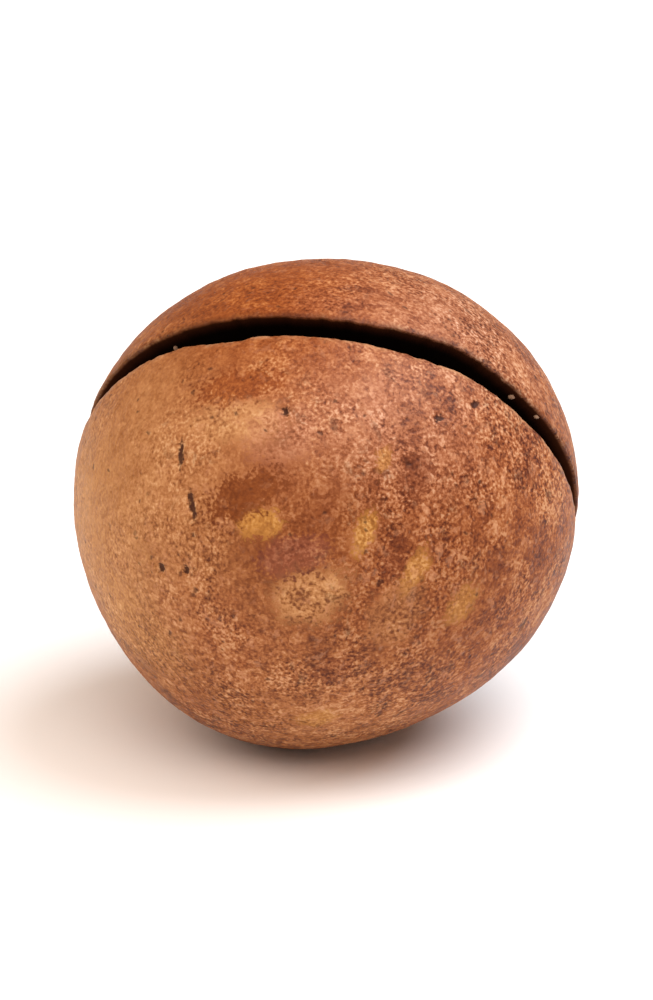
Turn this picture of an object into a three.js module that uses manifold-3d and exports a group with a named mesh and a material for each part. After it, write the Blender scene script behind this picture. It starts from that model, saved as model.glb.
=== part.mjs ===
// A macadamia nut in its shell, with the saw cut that lets a flat key twist it open.
// Millimetres, +Z up, with -Y to the front. The origin is on the small flat spot that the nut rests on,
// straight under the middle of its round form.
import * as THREE from "three";
import { mergeVertices } from "three/addons/utils/BufferGeometryUtils.js";
import Module from "manifold-3d";

// Driving dimensions
const NUT_DIAMETER = 24.9; // the round form, before its swells and flats
const REST_SPOT_DIAMETER = 6; // the flat spot under the nut
const CUT_WIDTH = 1.4; // saw cut, from lip to lip
const CUT_DEPTH = 3; // about the thickness of the shell
const CUT_SWEEP = 220; // degrees of the cut's circle that are at full depth
const CUT_OFFSET = 1.35; // from the middle of the nut to the cut's plane
const BLADE_RADIUS = 15; // saw blade, whose curve ends the cut
const SUTURE_WIDTH = 0.5; // thin seam line of the shell
const SUTURE_DEPTH = 0.2;
const SUTURE_START = 52; // degrees from the base
const SUTURE_END = 174; // just short of the germ pore
const PORE_DIAMETER = 1.4; // germ pore, the dimple at the nut's tip
const PORE_DEPTH = 0.25;

// How finely the round shapes are faceted
const SHELL_DETAIL = 6; // splits of each edge of the icosahedron
const CUT_SEGMENTS = 8; // half as many as the facets along the floor of the saw cut
const SUTURE_STEPS = 20;
const SUTURE_SIDES = 5;
const PORE_SEGMENTS = 10;

// Unit vector for an azimuth about +Z from +X and an elevation above the horizon, in degrees.
function aim(azimuth, elevation) {
  const polar = THREE.MathUtils.degToRad(90 - elevation);
  const turn = THREE.MathUtils.degToRad(azimuth);
  return new THREE.Vector3(
    Math.sin(polar) * Math.cos(turn),
    Math.sin(polar) * Math.sin(turn),
    Math.cos(polar),
  );
}

// Directions from the middle of the nut
const BASE = aim(219, 16); // the broad pale scar where it grew on the stalk
const TIP = BASE.clone().negate(); // the germ pore, opposite the scar
const CUT_NORMAL = aim(79, 29); // square to the saw cut
const BRIDGE = aim(140, -34); // middle of the bridge that the saw left whole, which the seam crosses

// Swells and flats of the round form: rise in mm and spread in degrees about each direction
const FORM = [
  { toward: TIP, rise: 0.3, spread: 22 }, // blunt point
  { toward: BASE, rise: -0.2, spread: 34 }, // flattened base
  { toward: aim(7, 19), rise: 0.3, spread: 28 }, // right shoulder
  { toward: aim(90, 70), rise: -0.3, spread: 26 }, // low crown
  { toward: aim(174, 17), rise: 0.2, spread: 26 }, // left shoulder
  { toward: aim(221, -58), rise: 0.35, spread: 20 }, // left foot
  { toward: aim(314, -60), rise: -0.5, spread: 22 }, // flat at the right foot
];

const nutRadius = NUT_DIAMETER / 2;
const middleHeight = Math.sqrt(nutRadius ** 2 - (REST_SPOT_DIAMETER / 2) ** 2);
const middle = new THREE.Vector3(0, 0, middleHeight);

// Radius of the shell along a unit direction from the middle of the nut.
function shellRadius(direction) {
  return FORM.reduce((radius, { toward, rise, spread }) => {
    const away = direction.angleTo(toward) / THREE.MathUtils.degToRad(spread);
    return radius + rise * Math.exp(-0.5 * away ** 2);
  }, nutRadius);
}

// Point of the shell along a unit direction, lifted off the surface by a height.
function shellPoint(direction, height = 0) {
  return direction.clone().setLength(shellRadius(direction) + height).add(middle);
}

// The round form of the whole shell.
function shellGeometry() {
  const geometry = new THREE.IcosahedronGeometry(1, SHELL_DETAIL);
  const places = geometry.getAttribute("position");
  const direction = new THREE.Vector3();
  for (let i = 0; i < places.count; i++) {
    direction.fromBufferAttribute(places, i).normalize();
    places.setXYZ(i, ...shellPoint(direction));
  }
  return geometry;
}

// The space that the saw took: a ring sector as thick as the blade. The blade rolled round the nut at a
// constant depth, and its own curve is left at each end.
function sawCutGeometry() {
  const half = THREE.MathUtils.degToRad(CUT_SWEEP / 2);
  const floorRadius = nutRadius - CUT_DEPTH;
  const outside = nutRadius + CUT_DEPTH;
  const bladeAway = floorRadius + BLADE_RADIUS; // from the middle of the cut to the blade's own middle
  // Angle at the blade's middle from its deepest point to where it passes the outside radius
  const leaving = Math.acos(
    (BLADE_RADIUS ** 2 + bladeAway ** 2 - outside ** 2) / (2 * BLADE_RADIUS * bladeAway),
  );
  const bladeArc = (shape, at, from, to) =>
    shape.absarc(
      bladeAway * Math.cos(at),
      bladeAway * Math.sin(at),
      BLADE_RADIUS,
      at + Math.PI + from,
      at + Math.PI + to,
      to < from,
    );
  // Angle at the nut's middle between the deepest point and that same place
  const runOut = Math.asin((BLADE_RADIUS * Math.sin(leaving)) / outside);
  const shape = new THREE.Shape();
  shape.absarc(0, 0, outside, -half - runOut, half + runOut, false);
  bladeArc(shape, half, -leaving, 0);
  shape.absarc(0, 0, floorRadius, half, -half, true);
  bladeArc(shape, -half, 0, leaving);
  const geometry = new THREE.ExtrudeGeometry(shape, {
    depth: CUT_WIDTH,
    bevelEnabled: false,
    curveSegments: CUT_SEGMENTS,
  });
  geometry.translate(0, 0, CUT_OFFSET - CUT_WIDTH / 2);
  const across = BRIDGE.clone().projectOnPlane(CUT_NORMAL).normalize().negate();
  const along = CUT_NORMAL.clone().cross(across);
  const place = new THREE.Matrix4().makeBasis(across, along, CUT_NORMAL).setPosition(middle);
  return geometry.applyMatrix4(place);
}

// A round-bottomed groove or dimple of a given width and depth is cut by a circle of this radius,
// with its middle this high above the surface.
function roundCutter(width, depth) {
  const radius = ((width / 2) ** 2 + depth ** 2) / (2 * depth);
  return { radius, height: radius - depth };
}

// The line of the seam, from near the base round to the tip.
class SutureLine extends THREE.Curve {
  constructor(height) {
    super();
    this.height = height;
    this.side = BRIDGE.clone().projectOnPlane(TIP).normalize();
  }

  getPoint(t, target = new THREE.Vector3()) {
    const angle = THREE.MathUtils.degToRad(THREE.MathUtils.lerp(SUTURE_START, SUTURE_END, t));
    const direction = BASE.clone()
      .multiplyScalar(Math.cos(angle))
      .addScaledVector(this.side, Math.sin(angle));
    return target.copy(shellPoint(direction, this.height));
  }
}

// The groove of the seam, as the space to take away.
function sutureGeometry() {
  const { radius, height } = roundCutter(SUTURE_WIDTH, SUTURE_DEPTH);
  const corners = Array.from({ length: SUTURE_SIDES }, (_, i) => {
    const turn = (2 * Math.PI * i) / SUTURE_SIDES;
    return new THREE.Vector2(radius * Math.cos(turn), radius * Math.sin(turn));
  });
  return new THREE.ExtrudeGeometry(new THREE.Shape(corners), {
    steps: SUTURE_STEPS,
    extrudePath: new SutureLine(height),
  });
}

// The dimple of the germ pore, as the space to take away.
function poreGeometry() {
  const { radius, height } = roundCutter(PORE_DIAMETER, PORE_DEPTH);
  const geometry = new THREE.SphereGeometry(radius, PORE_SEGMENTS, PORE_SEGMENTS / 2);
  return geometry.translate(...shellPoint(TIP, height));
}

// Everything below the resting plane.
function groundGeometry() {
  const size = 2 * NUT_DIAMETER;
  return new THREE.BoxGeometry(size, size, size).translate(0, 0, -size / 2);
}

const wasm = await Module();
wasm.setup();

// A closed three.js geometry as a solid that can be cut.
function solidOf(geometry) {
  const bare = geometry.clone();
  bare.deleteAttribute("normal");
  bare.deleteAttribute("uv");
  const merged = mergeVertices(bare);
  return new wasm.Manifold(
    new wasm.Mesh({
      numProp: 3,
      vertProperties: merged.getAttribute("position").array,
      triVerts: new Uint32Array(merged.index.array),
    }),
  );
}

// A cut solid back as a three.js geometry.
function geometryOf(solid) {
  const { vertProperties, triVerts } = solid.getMesh();
  const geometry = new THREE.BufferGeometry();
  geometry.setAttribute("position", new THREE.BufferAttribute(vertProperties, 3));
  geometry.setIndex(new THREE.BufferAttribute(triVerts, 1));
  geometry.computeVertexNormals();
  return geometry;
}

const cutters = [sawCutGeometry(), sutureGeometry(), poreGeometry(), groundGeometry()];
const nutSolid = cutters.reduce(
  (solid, cutter) => solid.subtract(solidOf(cutter)),
  solidOf(shellGeometry()),
);

const shellMaterial = new THREE.MeshStandardMaterial({
  color: 0xaf6c45,
  roughness: 0.6,
  metalness: 0,
});

const nut = new THREE.Mesh(geometryOf(nutSolid), shellMaterial);
nut.name = "macadamia_nut";

const part = new THREE.Group();
part.add(nut);

export default part;
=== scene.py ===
# Macadamia nut in its shell: one woody shell with a saw cut, on a pale floor.
# Lengths in the dictionaries are millimetres, angles are degrees, colours are sRGB 0 to 255,
# unless a note says otherwise.
import math

import bpy
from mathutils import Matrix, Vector


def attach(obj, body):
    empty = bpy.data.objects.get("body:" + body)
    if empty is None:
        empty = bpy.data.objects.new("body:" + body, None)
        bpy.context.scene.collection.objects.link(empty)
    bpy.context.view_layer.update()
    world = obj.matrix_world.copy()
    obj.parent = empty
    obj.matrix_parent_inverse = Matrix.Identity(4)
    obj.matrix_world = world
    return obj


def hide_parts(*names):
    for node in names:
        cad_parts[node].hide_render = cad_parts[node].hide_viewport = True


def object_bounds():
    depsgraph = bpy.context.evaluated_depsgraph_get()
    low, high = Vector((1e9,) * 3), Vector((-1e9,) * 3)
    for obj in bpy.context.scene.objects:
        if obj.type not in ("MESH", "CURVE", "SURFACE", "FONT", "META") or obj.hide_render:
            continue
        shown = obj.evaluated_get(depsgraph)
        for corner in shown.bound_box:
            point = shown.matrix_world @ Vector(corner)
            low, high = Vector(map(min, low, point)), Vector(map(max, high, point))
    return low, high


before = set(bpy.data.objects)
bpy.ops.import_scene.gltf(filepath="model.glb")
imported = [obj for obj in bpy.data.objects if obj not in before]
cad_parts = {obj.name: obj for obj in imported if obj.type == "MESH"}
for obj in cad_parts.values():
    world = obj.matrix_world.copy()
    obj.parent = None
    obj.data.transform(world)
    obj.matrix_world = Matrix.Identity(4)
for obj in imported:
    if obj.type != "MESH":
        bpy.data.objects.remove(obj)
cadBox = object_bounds()
mm = 0.001
toDegrees = 180 / math.pi


def aim(azimuth, elevation):
    flat = math.cos(math.radians(elevation))
    turn = math.radians(azimuth)
    return Vector((flat * math.cos(turn), flat * math.sin(turn), math.sin(math.radians(elevation))))


def colour(red, green, blue):
    channels = [c / 255 for c in (red, green, blue)]
    return [c / 12.92 if c <= 0.04045 else ((c + 0.055) / 1.055) ** 2.4 for c in channels] + [1.0]


# A socket of a node tree. Sums on it add Math nodes.
class Value:
    def __init__(self, tree, socket):
        self.tree = tree
        self.socket = socket

    def math(self, operation, *others):
        return self.tree.math(operation, self, *others)

    def __add__(self, other):
        return self.tree.math("ADD", self, other)

    def __radd__(self, other):
        return self.tree.math("ADD", other, self)

    def __sub__(self, other):
        return self.tree.math("SUBTRACT", self, other)

    def __rsub__(self, other):
        return self.tree.math("SUBTRACT", other, self)

    def __mul__(self, other):
        return self.tree.math("MULTIPLY", self, other)

    def __rmul__(self, other):
        return self.tree.math("MULTIPLY", other, self)

    def __truediv__(self, other):
        return self.tree.math("DIVIDE", self, other)

    def __rtruediv__(self, other):
        return self.tree.math("DIVIDE", other, self)


# A node tree under construction, for geometry or for a material.
class Tree:
    def __init__(self, nodeTree):
        self.nodeTree = nodeTree

    def add(self, kind, settings=None, sockets=None, out=0):
        node = self.nodeTree.nodes.new(kind)
        for name, setting in (settings or {}).items():
            if name == "stops":
                self.setStops(node.color_ramp.elements, setting)
            else:
                setattr(node, name, setting)
        for name, given in (sockets or {}).items():
            if isinstance(given, Value):
                self.nodeTree.links.new(given.socket, node.inputs[name])
            else:
                node.inputs[name].default_value = given
        return Value(self, node.outputs[out]) if node.outputs else None

    # a new ramp has two stops
    def setStops(self, elements, stops):
        while len(elements) < len(stops):
            elements.new(1.0)
        for element, (at, tint) in zip(elements, stops):
            element.position = at
            element.color = tint

    def math(self, operation, *terms):
        return self.add("ShaderNodeMath", {"operation": operation}, dict(enumerate(terms)))

    def vector(self, operation, *terms):
        numberOut = operation in ("DOT_PRODUCT", "LENGTH")
        settings = {"operation": operation}
        return self.add("ShaderNodeVectorMath", settings, dict(enumerate(terms)), out=int(numberOut))

    def scaled(self, vector, amount):
        return self.add("ShaderNodeVectorMath", {"operation": "SCALE"}, {0: vector, "Scale": amount})

    def total(self, *vectors):
        result = vectors[0]
        for vector in vectors[1:]:
            result = self.vector("ADD", result, vector)
        return result

    # radians between two directions
    def angle(self, direction, toward):
        return self.vector("DOT_PRODUCT", direction, toward).math("ARCCOSINE")

    def xyz(self, x, y, z):
        return self.add("ShaderNodeCombineXYZ", None, {0: x, 1: y, 2: z})

    def part(self, vector, axis):
        return self.add("ShaderNodeSeparateXYZ", None, {0: vector}, out="XYZ".index(axis))

    # 0 below low, 1 above high and smooth between; low may be the larger one
    def step(self, value, low, high):
        return self.add(
            "ShaderNodeMapRange",
            {"interpolation_type": "SMOOTHSTEP"},
            {"Value": value, "From Min": low, "From Max": high},
        )

    def clamp(self, value):
        return self.add("ShaderNodeClamp", None, {"Value": value})

    # a soft hill of height 1 at 0, falling away over the given width
    def hill(self, distance, width):
        share = distance / width
        return (share * share * -1.0).math("EXPONENT")

    def noise(self, place, size, detail=2.0, roughness=0.5, out=0):
        sockets = {"Vector": place, "Scale": 1 / size, "Detail": detail, "Roughness": roughness}
        return self.add("ShaderNodeTexNoise", None, sockets, out=out)

    # noise about 0
    def ripple(self, place, **pattern):
        return self.noise(place, **pattern) - 0.5

    # noise about 0 in each direction
    def sway(self, place, **pattern):
        return self.vector("SUBTRACT", self.noise(place, **pattern, out="Color"), Vector((0.5, 0.5, 0.5)))

    # distance to the nearest point of a scatter
    def cells(self, place, size, out=0):
        return self.add("ShaderNodeTexVoronoi", None, {"Vector": place, "Scale": 1 / size}, out=out)

    # one random number for each point of that scatter
    def cellPick(self, place, size):
        return self.part(self.cells(place, size, out="Color"), "X")

    def mix(self, factor, first, second):
        return self.add("ShaderNodeMix", {"data_type": "RGBA"}, {0: factor, 6: first, 7: second}, out=2)


# The shell's form. The first nine values are those of the CAD solid.
nutShape = {
    "diameter": 24.9,
    "cutWidth": 1.4,
    "cutDepth": 3.0,
    "cutSweep": 220.0,  # at full depth
    "cutOffset": 1.35,  # from the middle of the nut to the cut's plane
    "bladeRadius": 15.0,
    "seamWidth": 0.5,
    "seamDepth": 0.2,
    "germDepth": 0.25,
    "lump": 0.12,  # low swells over the whole shell
    "grain": 0.05,  # finer unevenness
    "pitDepth": 0.12,
    "chip": 0.2,  # ragged lips of the cut
    "crumbsPerMm2": 0.05,  # saw dust left on the walls of the cut
    "seed": 7,
}
nutMesh = {
    "columns": 440,
    "capRows": 86,
    "cutRows": 26,
    "bowlRows": 104,
    "crowding": 1.25,  # rows closer together at the lips
    "weld": 0.004,  # closes the sheet's sides and its two poles
}
nutLayout = {
    "restSpot": 6.0,  # across the flat spot under the nut, as in the CAD solid
    "seamStart": (48.0, 62.0),  # from the base, over which the seam comes and goes
    "seamEnd": (176.0, 172.0),
    "bladeLeaves": 0.64,  # radians past the full depth, where the blade is clear of the nut
    "cutFade": 0.6,  # depth from which the cut counts in full
}
# Patterns of the relief, then the widths, heights and ranges of its forms
reliefNoise = {
    "chip": {"size": 0.7, "detail": 4.0, "roughness": 0.65},
    "lump": {"size": 5.5},
    "grain": {"size": 0.9, "detail": 3.0, "roughness": 0.6},
    "seam": {"size": 2.5},
    "wall": {"size": 0.5, "detail": 3.0, "roughness": 0.6},
    "crumb": {"size": 0.16, "detail": 1.0},
}
relief = {
    "lowerShift": Vector((31.0, 7.0, 3.0)),  # else both lips chip alike
    "seedStep": Vector((17.3, 5.9, 0.0)),
    "outside": (0.4, 0.0),  # depth in the cut where the outside ends
    "pitsApart": 1.5,
    "pitWidth": 0.16,
    "pitPick": (0.6, 0.95),
    "seamWander": 0.5,
    "seamSpread": 0.45,  # of the seam's width
    "germWidth": 0.5,
    "rimAway": 1.0,  # the germ pore's rim
    "rimWidth": 0.35,
    "rimRise": 0.05,
    "lipWidth": 0.2,
    "lipFall": 0.07,
    "lipMark": 0.22,
    "lipMarkEnds": (0.5, 0.1),
    "wallRise": 0.16,
}
base = aim(219, 16)  # pale scar where it grew on the stalk
tip = -base  # germ pore
cutNormal = aim(79, 29)
bridge = aim(140, -34)  # what the saw left whole; the seam runs over it
nutForm = [
    {"toward": tip, "rise": 0.3, "spread": 22},
    {"toward": base, "rise": -0.2, "spread": 34},
    {"toward": aim(7, 19), "rise": 0.3, "spread": 28},
    {"toward": aim(90, 70), "rise": -0.3, "spread": 26},
    {"toward": aim(174, 17), "rise": 0.2, "spread": 26},
    {"toward": aim(221, -58), "rise": 0.35, "spread": 20},
    {"toward": aim(314, -60), "rise": -0.5, "spread": 22},
]
# The saw wandered a little, and broke some wider chips off the lips
cutWander = [
    {"toward": aim(329, 48), "rise": 0.27, "spread": 10},
    {"toward": aim(261, 67), "rise": -0.19, "spread": 16},
]
upperChips = [{"toward": aim(322, 53), "rise": 0.16, "spread": 9}]
lowerChips = [
    {"toward": aim(218, 60), "rise": 0.3, "spread": 5},
    {"toward": aim(318, 52), "rise": 0.06, "spread": 9},
]
# Single pores and short cracks: where, radius across and along, and which way a crack runs
nutPores = [
    {"at": aim(257.8, 42.7), "across": 0.22, "along": 0.24, "deep": 0.3},
    {"at": aim(229.0, 1.0), "across": 0.22, "along": 0.22, "deep": 0.22},
    {"at": aim(236.3, 2.3), "across": 0.19, "along": 0.22, "deep": 0.2},
    {"at": aim(229.1, 28.1), "across": 0.17, "along": 0.75, "turn": -16, "deep": 0.14},
    {"at": aim(236.2, 17.6), "across": 0.2, "along": 0.8, "turn": -24, "deep": 0.12},
    {"at": aim(319.3, 38.3), "across": 0.3, "along": 0.2, "deep": 0.15},
    {"at": aim(305.0, 38.0), "across": 0.3, "along": 0.18, "turn": -20, "deep": 0.12},
    {"at": aim(88.0, 30.0), "across": 0.22, "along": 0.26, "deep": 0.25},
    {"at": aim(112.0, 32.0), "across": 0.16, "along": 0.8, "turn": 20, "deep": 0.13},
    {"at": aim(58.0, 2.0), "across": 0.2, "along": 0.22, "deep": 0.2},
    {"at": aim(186.0, -14.0), "across": 0.18, "along": 0.7, "turn": -30, "deep": 0.12},
]
poreReach = 0.5  # how much further in than its half sizes a pore or a mark reaches

middleHeight = math.sqrt((nutShape["diameter"] / 2) ** 2 - (nutLayout["restSpot"] / 2) ** 2)
middle = Vector((0, 0, middleHeight))
acrossCut = -(bridge - cutNormal * bridge.dot(cutNormal)).normalized()  # middle of the cut
alongCut = cutNormal.cross(acrossCut)
seamSide = (bridge - tip * bridge.dot(tip)).normalized()
seamAcross = base.cross(seamSide)


# Soft hills about directions from the nut's middle, added up
def risesAbout(tree, direction, rises):
    height = 0.0
    for bulge in rises:
        share = tree.angle(direction, bulge["toward"]) / math.radians(bulge["spread"])
        height = bulge["rise"] * (share * share * -0.5).math("EXPONENT") + height
    return height


# Radius of the round form along a direction, with its swells and flats
def roundRadius(tree, direction, diameter):
    return diameter * 0.5 + risesAbout(tree, direction, nutForm)


# How far, in millimetres, a place on the shell is from the seam, and 1 where the seam runs
def seamPlace(tree, direction, radius):
    aside = tree.vector("DOT_PRODUCT", direction, seamAcross).math("ARCSINE") * radius
    toSide = tree.vector("DOT_PRODUCT", direction, seamSide)
    toBase = tree.vector("DOT_PRODUCT", direction, base)
    along = toSide.math("ARCTAN2", toBase) * toDegrees
    runs = tree.step(along, *nutLayout["seamStart"]) * tree.step(along, *nutLayout["seamEnd"])
    return aside, runs


# Depth of the single pores and cracks
def poreDepth(tree, place):
    deep = 0.0
    for pore in nutPores:
        deep = tree.hill(markSpread(tree, place, pore), 1.0) * pore["deep"] + deep
    return deep


def nutTree(material):
    nodeTree = bpy.data.node_groups.new("shellForm", "GeometryNodeTree")
    tree = Tree(nodeTree)
    sockets = {}
    for name in nutShape:
        kind = "NodeSocketInt" if name == "seed" else "NodeSocketFloat"
        sockets[name] = nodeTree.interface.new_socket(name, in_out="INPUT", socket_type=kind).identifier
    nodeTree.interface.new_socket("shell", in_out="OUTPUT", socket_type="NodeSocketGeometry")
    groupInput = nodeTree.nodes.new("NodeGroupInput")
    size = {name: Value(tree, groupInput.outputs[name]) for name in nutShape}

    # a flat sheet, columns round the cut's axis by rows from the cap's pole to the bowl's pole
    rows = nutMesh["capRows"] + nutMesh["cutRows"] + nutMesh["bowlRows"]
    sheet = tree.add(
        "GeometryNodeMeshGrid",
        None,
        {"Size X": 1.0, "Size Y": 1.0, "Vertices X": nutMesh["columns"] + 1, "Vertices Y": rows + 1},
    )
    flat = tree.add("GeometryNodeInputPosition")
    turn = (tree.part(flat, "X") + 0.5) * (2 * math.pi)
    row = (tree.part(flat, "Y") + 0.5) * rows
    capShare = tree.clamp(row / nutMesh["capRows"])
    cutShare = tree.clamp((row - nutMesh["capRows"]) / nutMesh["cutRows"])
    bowlShare = tree.clamp((row - nutMesh["capRows"] - nutMesh["cutRows"]) / nutMesh["bowlRows"])
    capShare = 1 - (1 - capShare).math("POWER", nutMesh["crowding"])
    bowlShare = bowlShare.math("POWER", nutMesh["crowding"])
    radial = tree.total(
        tree.scaled(acrossCut, turn.math("COSINE")),
        tree.scaled(alongCut, turn.math("SINE")),
    )

    # the saw cut's depth round the nut: full, then the blade's own curve up to the surface
    plane = size["cutOffset"]
    nominal = plane / (size["diameter"] * 0.5)
    midway = tree.total(
        tree.scaled(cutNormal, nominal),
        tree.scaled(radial, (1 - nominal * nominal).math("SQRT")),
    )
    lipRadius = roundRadius(tree, midway, size["diameter"])
    ring = (lipRadius * lipRadius - plane * plane).math("SQRT")
    floorRadius = size["diameter"] * 0.5 - size["cutDepth"]
    bladeAway = floorRadius + size["bladeRadius"]
    wrapped = math.pi - (turn - math.pi).math("ABSOLUTE")
    halfSweep = size["cutSweep"] * (math.pi / 360)
    past = (wrapped - halfSweep).math("MAXIMUM", 0.0).math("MINIMUM", nutLayout["bladeLeaves"])
    reach = bladeAway * past.math("SINE")
    bladeDrop = size["bladeRadius"] * size["bladeRadius"] - reach * reach
    cutFloor = bladeAway * past.math("COSINE") - bladeDrop.math("MAXIMUM", 0.0).math("SQRT")
    depth = (ring - cutFloor).math("MAXIMUM", 0.0)
    isCut = tree.clamp(depth / nutLayout["cutFade"])

    # ragged lips
    lipPlace = tree.scaled(midway, lipRadius)
    upperChip = tree.ripple(lipPlace, **reliefNoise["chip"])
    lowerChip = tree.ripple(tree.total(lipPlace, relief["lowerShift"]), **reliefNoise["chip"])
    half = size["cutWidth"] * 0.5
    upperGap = half + upperChip * size["chip"] * 2 * isCut + risesAbout(tree, midway, upperChips)
    lowerGap = half + lowerChip * size["chip"] * 2 * isCut + risesAbout(tree, midway, lowerChips)
    sawPlane = plane + risesAbout(tree, midway, cutWander)
    upperLip = sawPlane + upperGap
    lowerLip = sawPlane - lowerGap
    upperAngle = (upperLip / lipRadius).math("ARCCOSINE")
    lowerAngle = (lowerLip / lipRadius).math("ARCCOSINE")

    # down one wall, across the floor and up the other, evenly by length
    travel = cutShare * (depth * 2 + size["cutWidth"])
    down = travel.math("MINIMUM", depth)
    across = tree.clamp((travel - depth) / size["cutWidth"])
    up = (travel - depth - size["cutWidth"]).math("MAXIMUM", 0.0)
    sunk = down - up

    polar = capShare * upperAngle + across * (lowerAngle - upperAngle) + bowlShare * (math.pi - lowerAngle)
    direction = tree.total(
        tree.scaled(cutNormal, polar.math("COSINE")),
        tree.scaled(radial, polar.math("SINE")),
    )
    radius = roundRadius(tree, direction, size["diameter"])
    roundPlace = tree.scaled(direction, radius)

    # relief of the outside: swells, grain, pits, single pores, the seam and the germ pore
    place = tree.total(roundPlace, tree.scaled(relief["seedStep"], size["seed"]))
    outside = tree.step(sunk, *relief["outside"])
    lump = tree.ripple(place, **reliefNoise["lump"]) * 2 * size["lump"]
    grain = tree.ripple(place, **reliefNoise["grain"]) * 2 * size["grain"]
    pitPick = tree.step(tree.cellPick(place, relief["pitsApart"]), *relief["pitPick"])
    pit = tree.hill(tree.cells(place, relief["pitsApart"]), relief["pitWidth"]) * pitPick
    pores = poreDepth(tree, roundPlace)
    aside, seamRuns = seamPlace(tree, direction, radius)
    wander = tree.ripple(place, **reliefNoise["seam"]) * relief["seamWander"]
    seam = tree.hill(aside + wander, size["seamWidth"] * relief["seamSpread"]) * seamRuns
    germAway = tree.angle(direction, tip) * radius
    germ = tree.hill(germAway, relief["germWidth"])
    germRim = tree.hill(germAway - relief["rimAway"], relief["rimWidth"])
    lipAway = (1 - capShare) * upperAngle * radius + bowlShare * (math.pi - lowerAngle) * radius
    lip = tree.hill(lipAway, relief["lipWidth"]) * isCut
    rise = lump + grain + germRim * relief["rimRise"]
    fall = pit * size["pitDepth"] + pores + seam * size["seamDepth"] + germ * size["germDepth"]
    fall = fall + lip * relief["lipFall"]
    raised = tree.scaled(direction, (rise - fall) * outside)
    wallRough = tree.ripple(place, **reliefNoise["wall"]) * relief["wallRise"] * (1 - outside)
    cut = tree.scaled(radial, sunk * -1.0)
    rough = tree.scaled(cutNormal, wallRough)
    spot = tree.total(roundPlace, raised, cut, rough, middle)
    height = tree.part(spot, "Z").math("MAXIMUM", 0.0)  # flat where it rests
    rested = tree.xyz(tree.part(spot, "X"), tree.part(spot, "Y"), height)

    # marks for the finish, stored while the sheet is still flat because they read its position
    marks = {
        "sunk": sunk,
        "lip": tree.hill(lipAway, relief["lipMark"]) * isCut * tree.step(sunk, *relief["lipMarkEnds"]),
    }
    shell = sheet
    for name, mark in marks.items():
        shell = storeMark(tree, shell, name, mark)
    bent = {"Geometry": shell, "Position": tree.scaled(rested, mm)}
    shell = tree.add("GeometryNodeSetPosition", None, bent)
    welded = {"Geometry": shell, "Distance": nutMesh["weld"] * mm}
    shell = tree.add("GeometryNodeMergeByDistance", None, welded)
    crumbs = crumbTree(tree, shell, size)
    whole = tree.add("GeometryNodeJoinGeometry", None, {"Geometry": shell})
    nodeTree.links.new(crumbs.socket, whole.socket.node.inputs["Geometry"])
    whole = tree.add("GeometryNodeSetShadeSmooth", None, {"Geometry": whole})
    whole = tree.add("GeometryNodeRealizeInstances", None, {"Geometry": whole})
    whole = tree.add("GeometryNodeSetMaterial", None, {"Geometry": whole, "Material": material})
    groupOutput = nodeTree.nodes.new("NodeGroupOutput")
    nodeTree.links.new(whole.socket, groupOutput.inputs["shell"])
    return nodeTree, sockets


def storeMark(tree, geometry, name, mark):
    return tree.add(
        "GeometryNodeStoreNamedAttribute",
        {"data_type": "FLOAT", "domain": "POINT"},
        {"Geometry": geometry, "Name": name, "Value": mark},
    )


# Crumbs of saw dust that cling to the walls of the cut, half sunk in. Most of them lie in one heap.
sawDust = {
    "heap": aim(341, 33),
    "spread": 9,
    "gain": 36,
    "begins": (0.1, 0.15),  # depths in the cut
    "ends": (1.1, 1.0),
    "radius": 0.17,
    "splits": 2,
    "mostTurned": (6.28, 6.28, 6.28),  # radians, any way up
    "leastStretched": (0.4, 0.5, 0.4),
    "mostStretched": (1.3, 1.7, 1.2),
    "dent": 0.16,
}


def crumbTree(tree, shell, size):
    sunk = tree.add("GeometryNodeInputNamedAttribute", {"data_type": "FLOAT"}, {"Name": "sunk"})
    onWall = tree.step(sunk, *sawDust["begins"]) * tree.step(sunk, *sawDust["ends"])
    position = tree.add("GeometryNodeInputPosition")
    direction = tree.vector("NORMALIZE", tree.vector("SUBTRACT", position, middle * mm))
    away = tree.angle(direction, sawDust["heap"])
    gathered = 1 + tree.hill(away, math.radians(sawDust["spread"])) * sawDust["gain"]
    density = size["crumbsPerMm2"] * gathered / (mm * mm)
    points = tree.add(
        "GeometryNodeDistributePointsOnFaces",
        {"distribute_method": "RANDOM"},
        {"Mesh": shell, "Selection": onWall, "Density": density, "Seed": size["seed"]},
    )
    sockets = {"Radius": sawDust["radius"] * mm, "Subdivisions": sawDust["splits"]}
    grain = tree.add("GeometryNodeMeshIcoSphere", None, sockets)
    grain = storeMark(tree, grain, "crumb", 1.0)
    turned = tree.add(
        "FunctionNodeRandomValue",
        {"data_type": "FLOAT_VECTOR"},
        {"Min": (0.0, 0.0, 0.0), "Max": sawDust["mostTurned"], "Seed": size["seed"]},
    )
    stretched = tree.add(
        "FunctionNodeRandomValue",
        {"data_type": "FLOAT_VECTOR"},
        {
            "Min": sawDust["leastStretched"],
            "Max": sawDust["mostStretched"],
            "Seed": size["seed"] + 1.0,
        },
    )
    placed = tree.add(
        "GeometryNodeInstanceOnPoints",
        None,
        {"Points": points, "Instance": grain, "Rotation": turned, "Scale": stretched},
    )
    loose = tree.add("GeometryNodeRealizeInstances", None, {"Geometry": placed})
    loose = storeMark(tree, loose, "sunk", 0.0)  # else they keep the wall's own
    dent = tree.sway(tree.scaled(position, 1 / mm), **reliefNoise["crumb"])
    shift = tree.scaled(dent, sawDust["dent"] * mm)
    return tree.add("GeometryNodeSetPosition", None, {"Geometry": loose, "Offset": shift})


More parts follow.
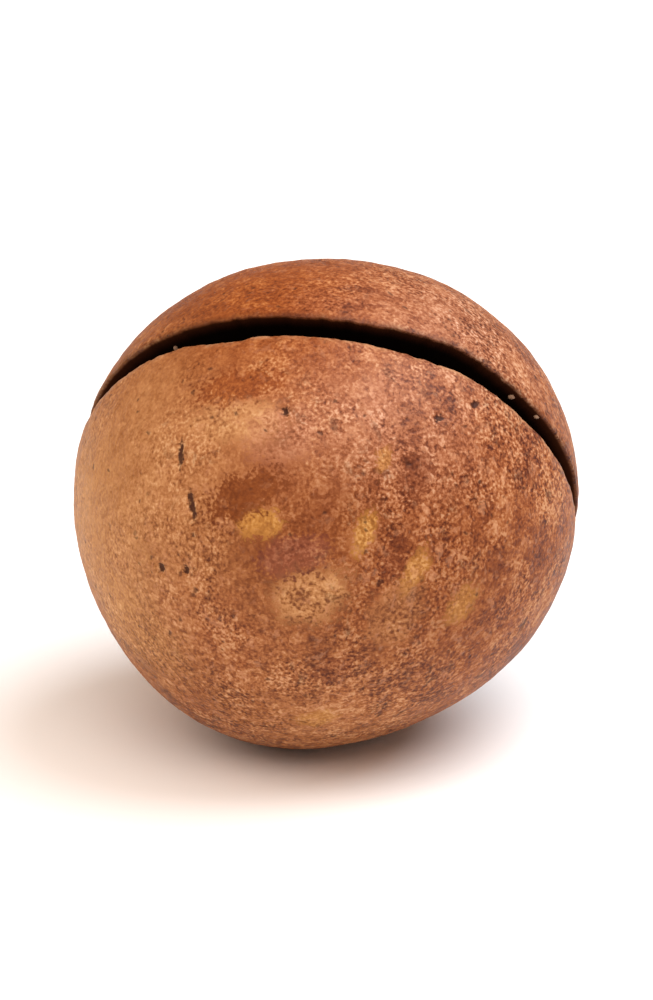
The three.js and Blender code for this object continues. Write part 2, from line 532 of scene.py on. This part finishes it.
def makeNut(material):
    nodeTree, sockets = nutTree(material)
    nut = bpy.data.objects.new("nutShell", bpy.data.meshes.new("nutShellBlank"))
    bpy.context.scene.collection.objects.link(nut)
    modifier = nut.modifiers.new("shellForm", "NODES")
    modifier.node_group = nodeTree
    for name, value in nutShape.items():
        modifier[sockets[name]] = value
    depsgraph = bpy.context.evaluated_depsgraph_get()
    mesh = bpy.data.meshes.new_from_object(nut.evaluated_get(depsgraph), depsgraph=depsgraph)
    nut.modifiers.remove(modifier)
    nut.data = mesh
    mesh.name = "nutShell"
    return nut


# The shell's finish. One mottled tone picks from every ramp of colours, dark to pale. Regions lay a ramp
# over a broad part of the shell about a direction, and say how strong the flecks are there. Marks lay one
# over a single patch: half sizes across and along, and turn leans the top right.
toneStops = {5: (0.1, 0.33, 0.5, 0.67, 0.9), 3: (0.2, 0.5, 0.8)}  # where a ramp's colours stand
shellTones = {
    "brown": [(72, 26, 10), (112, 53, 22), (138, 74, 36), (163, 100, 58), (190, 138, 98)],
    "tan": [(112, 62, 31), (154, 100, 57), (177, 123, 77), (192, 141, 93), (212, 168, 123)],
    "sand": [(128, 76, 38), (170, 115, 66), (192, 139, 86), (206, 156, 104), (222, 180, 134)],
    "orange": [(80, 30, 6), (116, 51, 10), (130, 60, 13), (148, 76, 22), (176, 108, 52)],
    # roseAndSheen is a rose-brown shell tone; on the upper front and the right of the cap it is also
    # painted sheen, a pale pink highlight of the light from the upper right. sheenBlush is paler pink
    # painted sheen
    "roseAndSheen": [(86, 39, 23), (131, 74, 47), (157, 98, 67), (181, 127, 97), (208, 165, 139)],
    "sheenBlush": [(100, 50, 31), (147, 89, 60), (173, 114, 82), (195, 141, 111), (218, 177, 151)],
    "smear": [(98, 45, 14), (120, 60, 21), (144, 82, 38)],
    "plum": [(104, 51, 34), (126, 67, 46), (150, 90, 68)],
    "ochre": [(150, 96, 42), (180, 124, 58), (208, 158, 92)],
    "rust": [(74, 29, 12), (106, 47, 21), (136, 72, 42)],
}
shellTints = {
    "pale": (194, 138, 102),
    "dark": (50, 19, 9),
    "lipPale": (192, 140, 100),
    "burnt": (30, 11, 5),
    "crumb": (160, 126, 102),
    # cutEdge is the dark sawn face at the lips; cutDepthShade is painted shade deep inside the cut
    "cutEdge": (60, 30, 17),
    "cutDepthShade": (16, 8, 5),
}
shellLook = {
    "smooth": 0.45,  # roughness, from here
    "coarse": 0.65,  # to here
    "wallRoughness": 0.9,
    "specular": 0.15,
    "bump": 0.08,
    "bumpStrength": 0.7,
}
shellNoise = {
    "push": {"detail": 3.0, "roughness": 0.6},
    "blotch": {"size": 5.0},
    "cloud": {"size": 1.3, "detail": 5.0, "roughness": 0.7},
    "grit": {"size": 0.17, "detail": 1.5},
    "cluster": {"size": 2.8, "detail": 1.0},
    "paleFleck": {"size": 0.42, "detail": 3.0, "roughness": 0.65},
    "darkFleck": {"size": 0.6, "detail": 4.0, "roughness": 0.7},
}
shellPush = {"broad": (1.4, 1.1), "fine": (0.4, 0.16), "pore": (0.3, 0.35)}  # size and amount
shellShift = {  # else these patterns line up
    "cluster": Vector((2.0, 6.0, 1.0)),
    "paleFleck": Vector((3.0, 8.0, 5.0)),
    "darkFleck": Vector((9.0, 4.0, 2.0)),
}
shellGrain = {
    "squeeze": 0.65,  # of the grain's length from base to tip
    "flakes": 0.3,
    "specksApart": 0.7,
    "seamLine": 0.16,
}
# How much each pattern counts
shellShare = {
    "edgeBlotch": 40,  # degrees that the edge of a region moves
    "edgeCloud": 25,
    "cloud": 1.15,
    "flake": 0.3,
    "clusteredGrit": 0.9,
    "blotch": 0.45,
    "markGrit": 1.3,
    "markFlake": 0.4,
    "leastFleck": 0.08,
    "paleFleck": 0.28,
    "darkFleck": 0.55,
    "speck": 0.65,
    "poreGrit": 1.2,
    "pore": 0.9,
    "seam": 0.85,
    "germGrit": 0.5,
    "lipPale": 0.7,
    "burntBelow": 0.15,
    "burntAbove": 0.35,
    "gritHeight": 0.8,
    "cloudHeight": 0.6,
    "speckDepth": 0.4,
}
# Where each step runs, from 0 to 1
shellSteps = {
    "cluster": (0.4, 0.62),
    "mark": (1.12, 0.74),
    "fleck": (0.54, 0.68),
    "speck": (0.24, 0.08),
    "speckPick": (0.62, 0.8),
    "pore": (1.25, 0.6),
    "germ": (0.7, 0.35),
    "above": (-0.2, 0.2),
    "lipBroken": (0.44, 0.6),
    "coarse": (0.4, 0.6),
    "wall": (0.1, 1.0),
    "inside": (0.0, 0.25),
}
shellRegions = [
    {"toward": aim(216, 25), "spread": 38, "tones": "tan", "share": 0.9, "flecks": 0.35},
    {"toward": aim(192, 6), "spread": 22, "tones": "sand", "share": 0.8, "flecks": 0.4},
    {"toward": aim(207, 42), "spread": 12, "tones": "sand", "share": 0.5, "flecks": 0.4},
    {"toward": aim(210, -15), "spread": 16, "tones": "sand", "share": 0.65, "flecks": 0.8},
    {"toward": aim(268, 19), "spread": 19, "tones": "smear", "share": 0.85, "flecks": 0.5},
    # the next two regions, on the upper front, are painted sheen: a pale pink highlight of the light from
    # the upper right
    {"toward": aim(290, 41), "spread": 22, "tones": "roseAndSheen", "share": 0.8, "flecks": 1.2},
    {"toward": aim(277, 44), "spread": 14, "tones": "sheenBlush", "share": 0.62, "flecks": 0.8},
    {"toward": aim(218, 76), "spread": 42, "tones": "orange", "share": 0.9, "flecks": 0.3},
    # painted sheen on the right of the cap
    {"toward": aim(342, 56), "spread": 25, "tones": "roseAndSheen", "share": 0.85, "flecks": 1.0},
    {"toward": aim(301, -6), "spread": 25, "tones": "smear", "share": 0.5, "flecks": 0.9},
    {"toward": aim(268, -45), "spread": 26, "tones": "tan", "share": 0.4, "flecks": 1.2},
    {"toward": aim(62, 12), "spread": 30, "tones": "tan", "share": 0.75, "flecks": 0.4},
    {"toward": aim(30, -22), "spread": 24, "tones": "smear", "share": 0.7, "flecks": 0.5},
    {"toward": aim(118, 6), "spread": 28, "tones": "orange", "share": 0.6, "flecks": 0.4},
    {"toward": aim(92, 48), "spread": 24, "tones": "roseAndSheen", "share": 0.7, "flecks": 1.1},
    {"toward": aim(150, -40), "spread": 26, "tones": "tan", "share": 0.5, "flecks": 0.8},
]
shellMarks = [
    {"at": aim(254.5, 16.3), "across": 0.85, "along": 1.2, "turn": 80, "tones": "ochre", "share": 0.85},
    {"at": aim(279.4, 14.9), "across": 0.6, "along": 1.25, "turn": 30, "tones": "ochre", "share": 0.85},
    {"at": aim(291.2, 4.6), "across": 0.55, "along": 1.3, "turn": 26, "tones": "ochre", "share": 0.6},
    {"at": aim(303.4, -5.5), "across": 0.8, "along": 1.2, "turn": 50, "tones": "ochre", "share": 0.55},
    {"at": aim(286.0, 31.0), "across": 0.5, "along": 0.9, "turn": 25, "tones": "ochre", "share": 0.5},
    {"at": aim(267.8, -38.3), "across": 0.7, "along": 1.1, "turn": 60, "tones": "ochre", "share": 0.5},
    {"at": aim(266.9, 0.4), "across": 1.6, "along": 2.0, "turn": 75, "tones": "tan", "share": 1.0},
    {"at": aim(243.9, 38.9), "across": 1.2, "along": 2.6, "turn": 80, "tones": "tan", "share": 0.7},
    # these two marks are painted sheen on the upper front
    {"at": aim(258.5, 37.0), "across": 1.5, "along": 2.0, "turn": 70, "tones": "sheenBlush", "share": 0.45},
    {"at": aim(292.0, 44.0), "across": 1.7, "along": 2.2, "turn": 40, "tones": "sheenBlush", "share": 0.4},
    {"at": aim(287.0, -6.0), "across": 1.4, "along": 1.9, "turn": 40, "tones": "tan", "share": 0.35},
    {"at": aim(277.0, 22.0), "across": 1.3, "along": 2.8, "turn": 10, "tones": "smear", "share": 0.25},
    {"at": aim(249.8, 22.1), "across": 1.2, "along": 2.2, "turn": 55, "tones": "smear", "share": 0.9},
    {"at": aim(262.7, 9.4), "across": 1.0, "along": 1.8, "turn": 70, "tones": "plum", "share": 0.7},
    {"at": aim(239.7, 47.2), "across": 1.0, "along": 2.2, "turn": 70, "tones": "orange", "share": 0.6},
    {"at": aim(294.0, 26.0), "across": 0.9, "along": 1.9, "turn": 30, "tones": "rust", "share": 0.5},
    {"at": aim(286.0, 8.0), "across": 0.7, "along": 1.5, "turn": 20, "tones": "rust", "share": 0.5},
    {"at": aim(272.0, -20.0), "across": 0.8, "along": 1.6, "turn": 60, "tones": "rust", "share": 0.4},
    {"at": aim(324.0, 76.0), "across": 0.25, "along": 1.9, "turn": -30, "tones": "rust", "share": 0.5},
    {"at": aim(300.0, 72.0), "across": 0.2, "along": 1.6, "turn": -70, "tones": "rust", "share": 0.5},
    {"at": aim(76.0, 22.0), "across": 0.8, "along": 1.4, "turn": 60, "tones": "ochre", "share": 0.8},
    {"at": aim(98.0, 12.0), "across": 0.6, "along": 1.3, "turn": -20, "tones": "ochre", "share": 0.7},
    {"at": aim(84.0, -8.0), "across": 1.5, "along": 2.1, "turn": 70, "tones": "tan", "share": 0.9},
    {"at": aim(66.0, 33.0), "across": 1.1, "along": 2.2, "turn": 50, "tones": "smear", "share": 0.8},
    {"at": aim(128.0, 22.0), "across": 1.2, "along": 2.4, "turn": 75, "tones": "rust", "share": 0.5},
    {"at": aim(150.0, 30.0), "across": 1.3, "along": 2.4, "turn": 65, "tones": "tan", "share": 0.7},
    {"at": aim(10.0, 8.0), "across": 0.8, "along": 1.5, "turn": 35, "tones": "ochre", "share": 0.6},
    {"at": aim(20.0, 36.0), "across": 1.0, "along": 1.9, "turn": 40, "tones": "rust", "share": 0.5},
]


# 0 at a mark's middle and 1 at its edge, by the place from the nut's middle in millimetres
def markSpread(tree, place, mark):
    at = mark["at"]
    upward = (Vector((0, 0, 1)) - at * at.z).normalized()
    right = upward.cross(at)
    lean = math.radians(mark.get("turn", 0))
    alongWay = upward * math.cos(lean) + right * math.sin(lean)
    acrossWay = right * math.cos(lean) - upward * math.sin(lean)
    off = tree.vector("SUBTRACT", place, at * (nutShape["diameter"] / 2))
    across = tree.vector("DOT_PRODUCT", off, acrossWay / mark["across"])
    along = tree.vector("DOT_PRODUCT", off, alongWay / mark["along"])
    inward = tree.vector("DOT_PRODUCT", off, at / (mark["across"] + mark["along"] + poreReach))
    return tree.vector("LENGTH", tree.xyz(across, along, inward))


# a place pushed about by noise, by up to about half of the amount
def pushed(tree, place, size, amount):
    return tree.total(place, tree.scaled(tree.sway(place, size=size, **shellNoise["push"]), amount))


def shellMaterial():
    material = bpy.data.materials.new("macadamiaShell")
    material.use_nodes = True
    material.node_tree.nodes.clear()
    tree = Tree(material.node_tree)
    share = shellShare
    tints = {name: colour(*tint) for name, tint in shellTints.items()}
    objectPlace = tree.scaled(tree.add("ShaderNodeTexCoord", out="Object"), 1 / mm)
    place = tree.vector("SUBTRACT", objectPlace, middle)
    direction = tree.vector("NORMALIZE", place)
    sunk, lip, crumb = (
        tree.add("ShaderNodeAttribute", {"attribute_name": name}, out="Fac")
        for name in ("sunk", "lip", "crumb")
    )

    # grain in four sizes, longer round the nut than from base to tip
    warped = pushed(tree, pushed(tree, place, *shellPush["broad"]), *shellPush["fine"])
    squeeze = shellGrain["squeeze"]
    towardBase = tree.vector("DOT_PRODUCT", warped, base) * (1 - squeeze)
    stretched = tree.total(tree.scaled(warped, squeeze), tree.scaled(base, towardBase))
    blotch = tree.noise(place, **shellNoise["blotch"])
    cloud = tree.noise(stretched, **shellNoise["cloud"])
    flake = tree.cellPick(warped, shellGrain["flakes"])
    grit = tree.noise(place, **shellNoise["grit"])
    clustered = tree.noise(tree.total(place, shellShift["cluster"]), **shellNoise["cluster"])
    clustered = tree.step(clustered, *shellSteps["cluster"])
    weights = []
    flecks = 1.0
    for region in shellRegions:
        away = tree.angle(direction, region["toward"]) * toDegrees
        away = away + (blotch - 0.5) * share["edgeBlotch"] + (cloud - 0.5) * share["edgeCloud"]
        weight = tree.hill(away, region["spread"])
        flecks = flecks + weight * (region["flecks"] - 1.0)
        weights.append(weight)
    flecks = tree.clamp(flecks)
    mottle = (cloud - 0.5) * share["cloud"] + (flake - 0.5) * share["flake"]
    mottle = mottle + (grit - 0.5) * (1 + clustered * share["clusteredGrit"])
    tone = 0.5 + (blotch - 0.5) * share["blotch"] + mottle * (0.5 + flecks * 0.5)
    skins = {}
    for name, tones in shellTones.items():
        ramp = [(at, colour(*tint)) for at, tint in zip(toneStops[len(tones)], tones)]
        skins[name] = tree.add("ShaderNodeValToRGB", {"stops": ramp}, {"Fac": tone})

    # broad regions, then single marks with broken edges
    skin = skins["brown"]
    for weight, region in zip(weights, shellRegions):
        skin = tree.mix(weight * region["share"], skin, skins[region["tones"]])
    broken = (grit - 0.5) * share["markGrit"] + (flake - 0.5) * share["markFlake"]
    for mark in shellMarks:
        inside = tree.step(markSpread(tree, warped, mark) + broken, *shellSteps["mark"])
        skin = tree.mix(inside * mark["share"], skin, skins[mark["tones"]])

    # pale flecks, dark flecks and specks
    fleck = {}
    for name in ("paleFleck", "darkFleck"):
        pattern = tree.noise(tree.total(stretched, shellShift[name]), **shellNoise[name])
        fleck[name] = tree.step(pattern, *shellSteps["fleck"])
    strength = share["leastFleck"] + flecks * share["paleFleck"]
    skin = tree.mix(fleck["paleFleck"] * strength, skin, tints["pale"])
    strength = share["leastFleck"] + flecks * clustered * share["darkFleck"]
    skin = tree.mix(fleck["darkFleck"] * strength, skin, tints["dark"])
    speckPick = tree.step(tree.cellPick(warped, shellGrain["specksApart"]), *shellSteps["speckPick"])
    speck = tree.step(tree.cells(warped, shellGrain["specksApart"]), *shellSteps["speck"]) * speckPick
    skin = tree.mix(speck * share["speck"], skin, tints["dark"])
    pores = 0.0
    torn = pushed(tree, place, *shellPush["pore"])
    for pore in nutPores:
        spread = markSpread(tree, torn, pore) + (grit - 0.5) * share["poreGrit"]
        pores = tree.step(spread, *shellSteps["pore"]) + pores
    skin = tree.mix(tree.clamp(pores) * share["pore"], skin, tints["dark"])

    # the seam and the germ pore of the far side
    radius = tree.vector("LENGTH", place)
    aside, seamRuns = seamPlace(tree, direction, radius)
    seedShift = relief["seedStep"] * nutShape["seed"]  # wanders with the groove
    wander = tree.ripple(tree.total(place, seedShift), **reliefNoise["seam"]) * relief["seamWander"]
    seam = tree.hill(aside + wander, shellGrain["seamLine"]) * seamRuns
    skin = tree.mix(seam * share["seam"], skin, tints["dark"])
    germAway = tree.angle(direction, tip) * radius + (grit - 0.5) * share["germGrit"]
    skin = tree.mix(tree.step(germAway, *shellSteps["germ"]), skin, tints["lipPale"])

    # lips of the saw cut: burnt above, with a broken pale edge below that is partly the pale sawn edge and
    # partly a painted highlight
    overCut = tree.vector("DOT_PRODUCT", place, cutNormal) - nutShape["cutOffset"]
    above = tree.step(overCut, *shellSteps["above"])
    paleLipAndHighlight = lip * (1 - above) * tree.step(cloud, *shellSteps["lipBroken"])
    skin = tree.mix(paleLipAndHighlight * share["lipPale"], skin, tints["lipPale"])
    skin = tree.mix(lip * (share["burntBelow"] + above * share["burntAbove"]), skin, tints["burnt"])
    skin = tree.mix(crumb, skin, tints["crumb"])

    smooth, coarse = shellLook["smooth"], shellLook["coarse"]
    rough = smooth + (coarse - smooth) * tree.step(cloud * 0.5 + grit * 0.5, *shellSteps["coarse"])
    height = grit * share["gritHeight"] + cloud * share["cloudHeight"] - speck * share["speckDepth"]
    sockets = {"Strength": shellLook["bumpStrength"], "Distance": shellLook["bump"] * mm, "Height": height}
    bump = tree.add("ShaderNodeBump", None, sockets)
    sockets = {"Base Color": skin, "Roughness": rough, "Normal": bump}
    sockets["Specular IOR Level"] = shellLook["specular"]
    outside = tree.add("ShaderNodeBsdfPrincipled", None, sockets)
    # walls of the cut: dark brown at the lips, near black deeper down; the darkening with depth is painted
    # shade of the narrow cut
    wall = tree.mix(tree.step(sunk, *shellSteps["wall"]), tints["cutEdge"], tints["cutDepthShade"])
    sockets = {"Base Color": wall, "Roughness": shellLook["wallRoughness"], "Specular IOR Level": 0.0}
    inside = tree.add("ShaderNodeBsdfPrincipled", None, sockets)
    sockets = {0: tree.step(sunk, *shellSteps["inside"]), 1: outside, 2: inside}
    shader = tree.add("ShaderNodeMixShader", None, sockets)
    tree.add("ShaderNodeOutputMaterial", None, {"Surface": shader})
    return material


nut = makeNut(shellMaterial())
triangles = sum(len(face.vertices) - 2 for face in nut.data.polygons)
print("nut shell made:", len(nut.data.vertices), "vertices,", triangles, "triangles")
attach(nut, "root")
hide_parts("macadamia_nut")


# The floor, the soft light and the camera
studio = {
    "floorColour": (250, 249, 248),
    "floorRoughness": 0.9,
    "floorSide": 3000.0,
    "worldColour": (255, 231, 212),
    "worldStrength": 0.42,
    "elevation": 22.0,
    "distance": 600.0,
    "frameHeight": 50.0,  # of the picture, at the nut
    "lookUp": 0.5,  # of the nut's height, where the camera points
    "sensorWidth": 36.0,
    "clip": (0.01, 10.0),  # metres
}
studioLights = [
    {
        "name": "keyRight",
        "tint": (240, 247, 255),
        "azimuth": 10,
        "elevation": 58,
        "away": 300,
        "side": 280,
        "power": 1.05,
    },
    {
        "name": "softFront",
        "tint": (255, 246, 238),
        "azimuth": 270,
        "elevation": 60,
        "away": 330,
        "side": 340,
        "power": 0.75,
    },
    {
        "name": "fillLeft",
        "tint": (255, 240, 226),
        "azimuth": 195,
        "elevation": 38,
        "away": 320,
        "side": 260,
        "power": 0.28,
    },
]


def makeFloor():
    side = studio["floorSide"] * mm / 2
    corners = [(-side, -side, 0), (side, -side, 0), (side, side, 0), (-side, side, 0)]
    mesh = bpy.data.meshes.new("floor")
    mesh.from_pydata(corners, [], [(0, 1, 2, 3)])
    floor = bpy.data.objects.new("floor", mesh)
    bpy.context.scene.collection.objects.link(floor)
    material = bpy.data.materials.new("paleFloor")
    material.use_nodes = True
    shader = material.node_tree.nodes["Principled BSDF"]
    shader.inputs["Base Color"].default_value = colour(*studio["floorColour"])
    shader.inputs["Roughness"].default_value = studio["floorRoughness"]
    mesh.materials.append(material)


def makeLight(name, tint, azimuth, elevation, away, side, power):
    light = bpy.data.lights.new(name, "AREA")
    light.shape = "DISK"
    light.size = side * mm
    light.color = colour(*tint)[:3]
    light.energy = power
    lamp = bpy.data.objects.new(name, light)
    lamp.location = (middle + aim(azimuth, elevation) * away) * mm
    lamp.rotation_euler = (-aim(azimuth, elevation)).to_track_quat("-Z", "Y").to_euler()
    bpy.context.scene.collection.objects.link(lamp)


def makeCamera():
    camera = bpy.data.cameras.new("camera")
    camera.sensor_width = studio["sensorWidth"]
    camera.lens = camera.sensor_width * studio["distance"] / studio["frameHeight"]
    camera.clip_start, camera.clip_end = studio["clip"]
    holder = bpy.data.objects.new("camera", camera)
    back = aim(-90, studio["elevation"])
    low, high = cadBox
    target = (low + high) / 2
    target.z = low.z + (high.z - low.z) * studio["lookUp"]
    holder.location = target + back * studio["distance"] * mm
    holder.rotation_euler = (-back).to_track_quat("-Z", "Y").to_euler()
    bpy.context.scene.collection.objects.link(holder)
    bpy.context.scene.camera = holder


makeFloor()
for setting in studioLights:
    makeLight(**setting)
world = bpy.data.worlds.new("softWhite")
world.use_nodes = True
background = world.node_tree.nodes["Background"]
background.inputs["Strength"].default_value = studio["worldStrength"]
background.inputs["Color"].default_value = colour(*studio["worldColour"])
bpy.context.scene.world = world
bpy.context.scene.view_settings.view_transform = "Standard"
makeCamera()
print("studio made")
